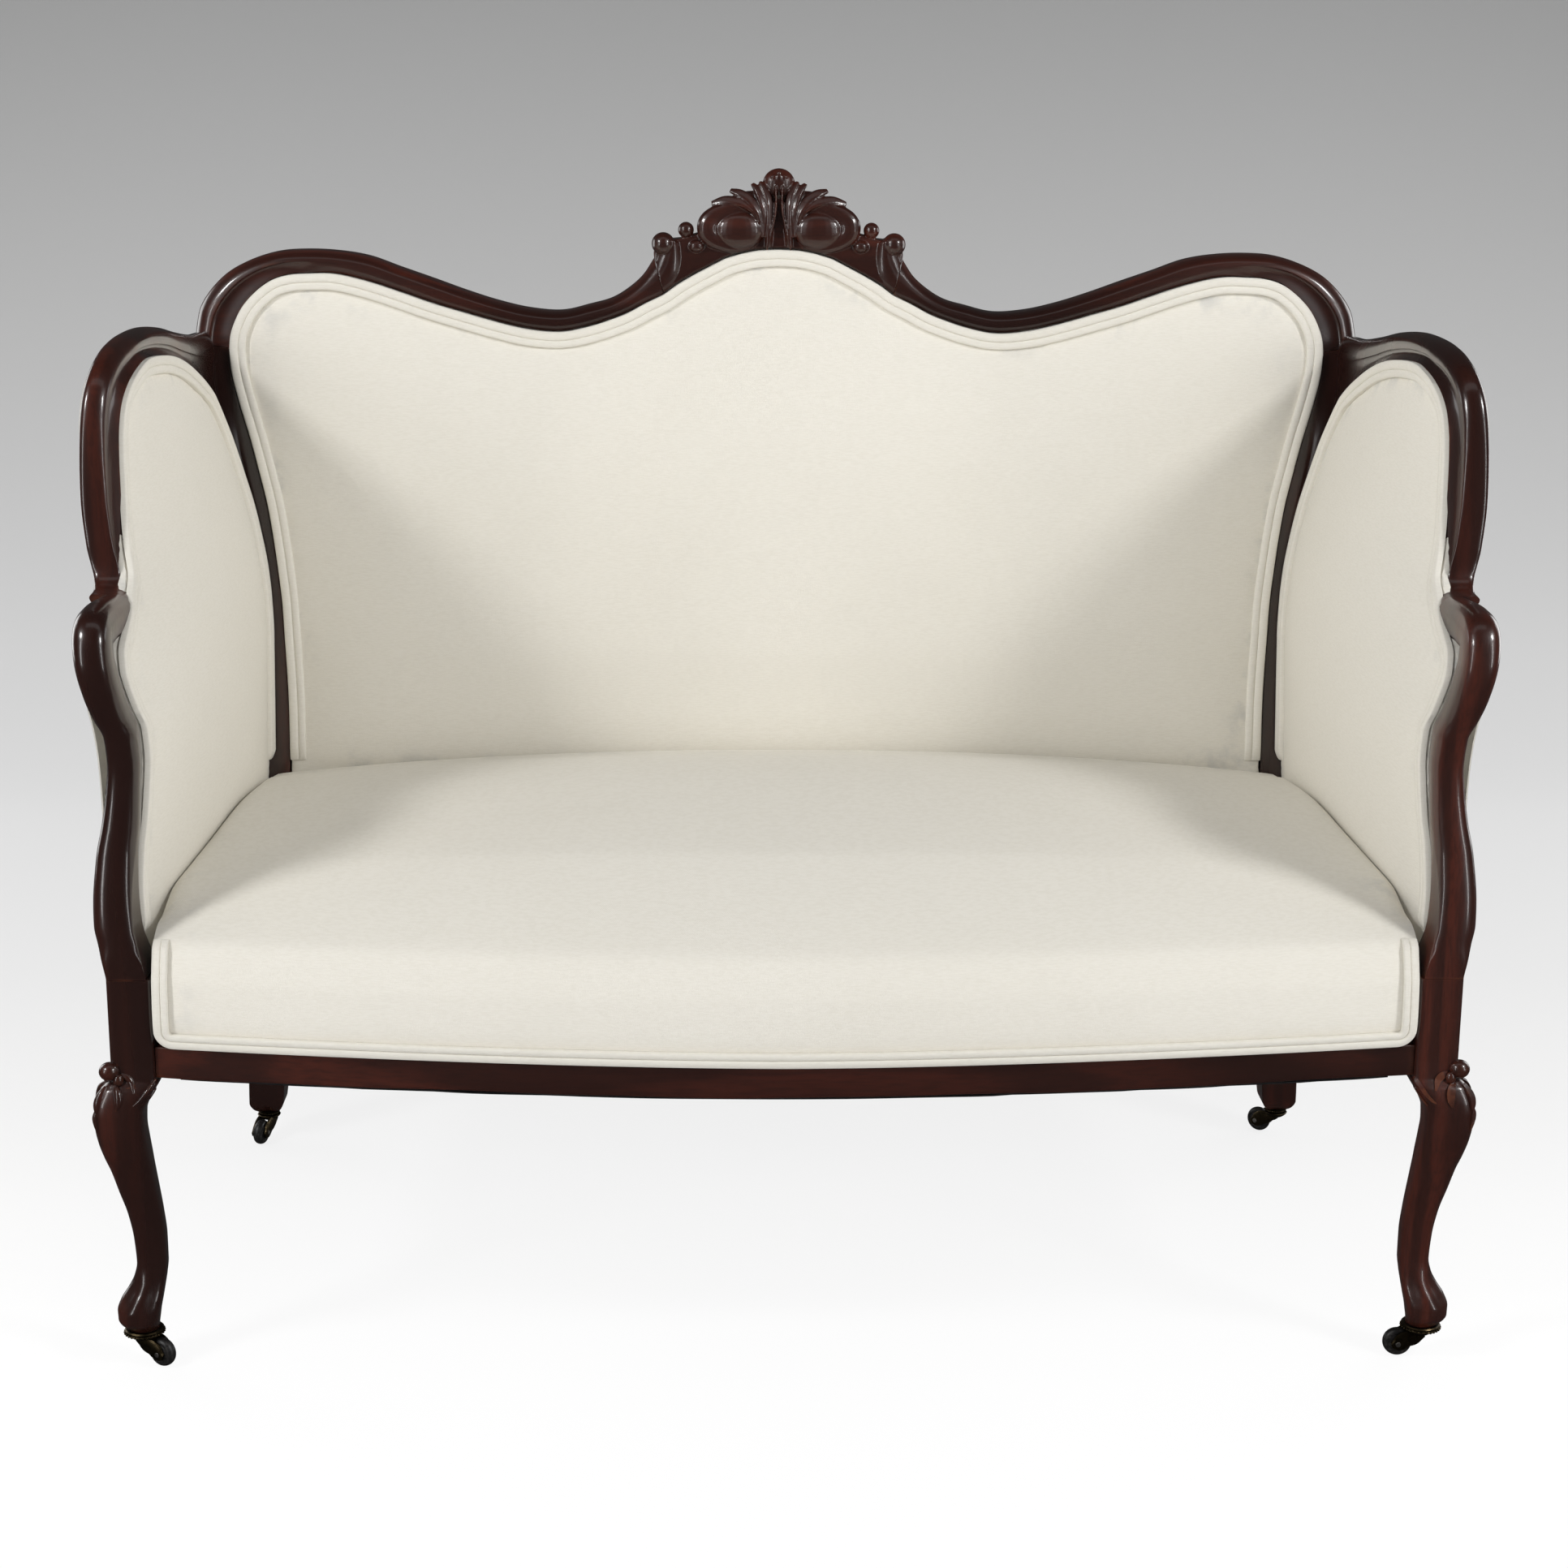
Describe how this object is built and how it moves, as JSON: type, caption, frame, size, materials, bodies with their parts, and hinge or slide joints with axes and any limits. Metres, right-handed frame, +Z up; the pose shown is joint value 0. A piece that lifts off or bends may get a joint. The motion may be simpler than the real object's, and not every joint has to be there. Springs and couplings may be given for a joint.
{
  "type": "cabriole sofa",
  "caption": "Small show-wood salon settee with a shaped padded back, winged padded sides, a sprung seat, cabriole front legs and swivel castors.",
  "frame": {"origin": "middle of the bounding box in plan, at floor level under the castor wheels", "axes": "+X to the right of someone looking at the front, +Y from the front to the back, +Z up"},
  "size_m": [1.2364, 0.6714, 1.018],
  "materials": {
    "mahogany": "dark stained and polished",
    "beech": "plain, unpolished",
    "ivory_cloth": "plain woven cloth",
    "jute": "coarse woven",
    "black_lining": "plain woven lining",
    "castor_brass": "darkened with age",
    "spring_steel": "drawn wire",
    "castor_wheel": "dark moulded wheel"
  },
  "bodies": {
    "settee": {"leg_front_left": "mahogany", "arm_support_left": "mahogany", "wing_rail_left": "mahogany", "back_post_left": "mahogany", "top_rail_left": "mahogany", "side_seat_rail_left": "mahogany", "side_tacking_rail_left": "beech", "corner_block_front_left": "beech", "corner_block_rear_left": "beech", "side_pad_left": "ivory_cloth", "side_piping_left": "ivory_cloth", "outside_side_cover_left": "ivory_cloth", "leg_front_right": "mahogany", "arm_support_right": "mahogany", "wing_rail_right": "mahogany", "back_post_right": "mahogany", "top_rail_right": "mahogany", "side_seat_rail_right": "mahogany", "side_tacking_rail_right": "beech", "corner_block_front_right": "beech", "corner_block_rear_right": "beech", "side_pad_right": "ivory_cloth", "side_piping_right": "ivory_cloth", "outside_side_cover_right": "ivory_cloth", "crest_carving": "mahogany", "front_seat_rail": "mahogany", "rear_seat_rail": "mahogany", "back_tacking_rail": "beech", "seat_webbing": "jute", "seat_hessian": "jute", "bottoming_cloth": "black_lining", "seat_pad": "ivory_cloth", "seat_piping": "ivory_cloth", "back_pad": "ivory_cloth", "back_piping": "ivory_cloth", "outside_back_cover": "ivory_cloth", "seat_spring_1": "spring_steel", "seat_spring_2": "spring_steel", "seat_spring_3": "spring_steel", "seat_spring_4": "spring_steel", "seat_spring_5": "spring_steel", "seat_spring_6": "spring_steel", "seat_spring_7": "spring_steel", "seat_spring_8": "spring_steel", "castor_plate_front_left": "castor_brass", "castor_plate_front_right": "castor_brass", "castor_plate_rear_left": "castor_brass", "castor_plate_rear_right": "castor_brass"},
    "fork_front_left": {"castor_horn_front_left": "castor_brass", "castor_axle_front_left": "spring_steel"},
    "fork_front_right": {"castor_horn_front_right": "castor_brass", "castor_axle_front_right": "spring_steel"},
    "fork_rear_left": {"castor_horn_rear_left": "castor_brass", "castor_axle_rear_left": "spring_steel"},
    "fork_rear_right": {"castor_horn_rear_right": "castor_brass", "castor_axle_rear_right": "spring_steel"},
    "wheel_front_left": {"castor_wheel_front_left": "castor_wheel"},
    "wheel_front_right": {"castor_wheel_front_right": "castor_wheel"},
    "wheel_rear_left": {"castor_wheel_rear_left": "castor_wheel"},
    "wheel_rear_right": {"castor_wheel_rear_right": "castor_wheel"}
  },
  "joints": [
    {"name": "swivel_front_left", "type": "hinge", "parent": "settee", "child": "fork_front_left", "pos_m": [-0.5705, -0.264, 0.028], "axis": [0, 0, 1], "continuous": true},
    {"name": "swivel_front_right", "type": "hinge", "parent": "settee", "child": "fork_front_right", "pos_m": [0.5705, -0.264, 0.028], "axis": [0, 0, 1], "continuous": true},
    {"name": "swivel_rear_left", "type": "hinge", "parent": "settee", "child": "fork_rear_left", "pos_m": [-0.54096, 0.2715, 0.028], "axis": [0, 0, 1], "continuous": true},
    {"name": "swivel_rear_right", "type": "hinge", "parent": "settee", "child": "fork_rear_right", "pos_m": [0.54096, 0.2715, 0.028], "axis": [0, 0, 1], "continuous": true},
    {"name": "roll_front_left", "type": "hinge", "parent": "fork_front_left", "child": "wheel_front_left", "pos_m": [-0.55318, -0.274, 0.01297], "axis": [0.5, 0.866, 0], "continuous": true},
    {"name": "roll_front_right", "type": "hinge", "parent": "fork_front_right", "child": "wheel_front_right", "pos_m": [0.55055, -0.26261, 0.01297], "axis": [-0.0698, -0.9976, 0], "continuous": true},
    {"name": "roll_rear_left", "type": "hinge", "parent": "fork_rear_left", "child": "wheel_rear_left", "pos_m": [-0.54681, 0.25237, 0.01297], "axis": [0.9563, -0.2924, 0], "continuous": true},
    {"name": "roll_rear_right", "type": "hinge", "parent": "fork_rear_right", "child": "wheel_rear_right", "pos_m": [0.52587, 0.28462, 0.01297], "axis": [-0.6561, -0.7547, 0], "continuous": true}
  ]
}
